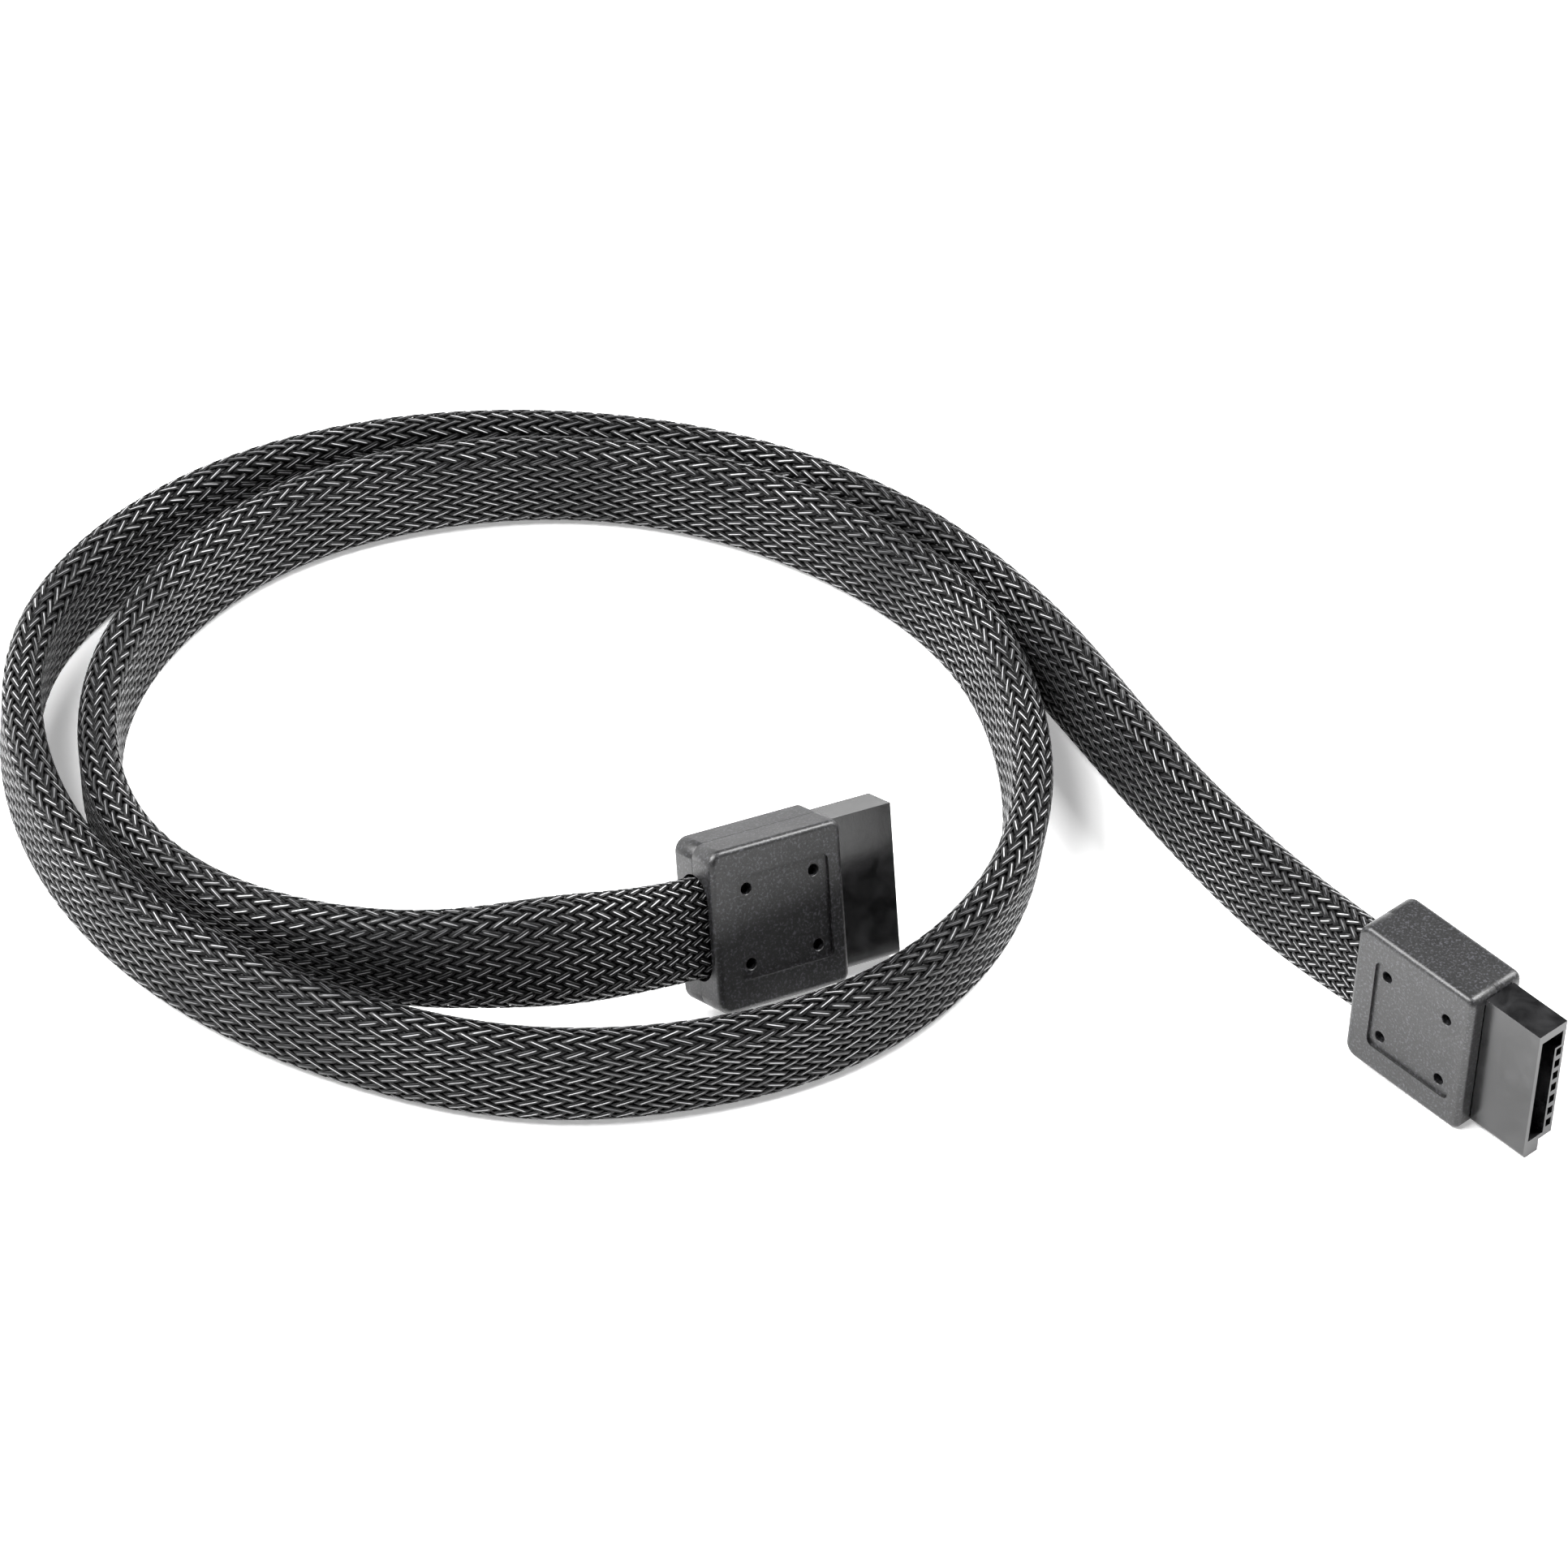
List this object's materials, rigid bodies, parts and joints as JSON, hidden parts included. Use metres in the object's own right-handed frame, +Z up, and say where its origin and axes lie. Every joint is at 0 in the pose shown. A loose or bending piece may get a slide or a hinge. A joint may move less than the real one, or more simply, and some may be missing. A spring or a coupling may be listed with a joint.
{
  "type": "sata data cable",
  "caption": "Flat data cable in an open black braided sleeve, lying in a loose loop, with a straight keyed plug at each end.",
  "frame": {"origin": "on the surface that the cable lies on, under the middle of the box round the two plugs", "axes": "+Z up from the surface; +X to the right along the line of the two plugs, from plug a towards plug b; +Y away from the viewer"},
  "size_m": [0.1269, 0.092, 0.0159],
  "materials": {
    "grip_plastic": "fine spark-textured black moulding with soft edges",
    "nose_plastic": "smooth semi-matt black moulding",
    "mould_plastic": "plain black moulding, hidden",
    "braid": "open braid of glossy black monofilament",
    "jacket_vinyl": "satin dark vinyl, seen through the braid",
    "shield_foil": "wrapped shield foil, hidden",
    "contact_metal": "gold-flashed spring contacts"
  },
  "bodies": {
    "root": {"grip_a": "grip_plastic", "nose_housing_a": "nose_plastic", "inner_mould_a": "mould_plastic", "grip_b": "grip_plastic", "nose_housing_b": "nose_plastic", "inner_mould_b": "mould_plastic", "contact_a_1": "contact_metal", "contact_a_2": "contact_metal", "contact_a_3": "contact_metal", "contact_a_4": "contact_metal", "contact_a_5": "contact_metal", "contact_a_6": "contact_metal", "contact_a_7": "contact_metal", "contact_b_1": "contact_metal", "contact_b_2": "contact_metal", "contact_b_3": "contact_metal", "contact_b_4": "contact_metal", "contact_b_5": "contact_metal", "contact_b_6": "contact_metal", "contact_b_7": "contact_metal", "braided_sleeve": "braid", "cable_jacket": "jacket_vinyl", "shielded_pair_1": "shield_foil", "shielded_pair_2": "shield_foil"}
  },
  "joints": []
}
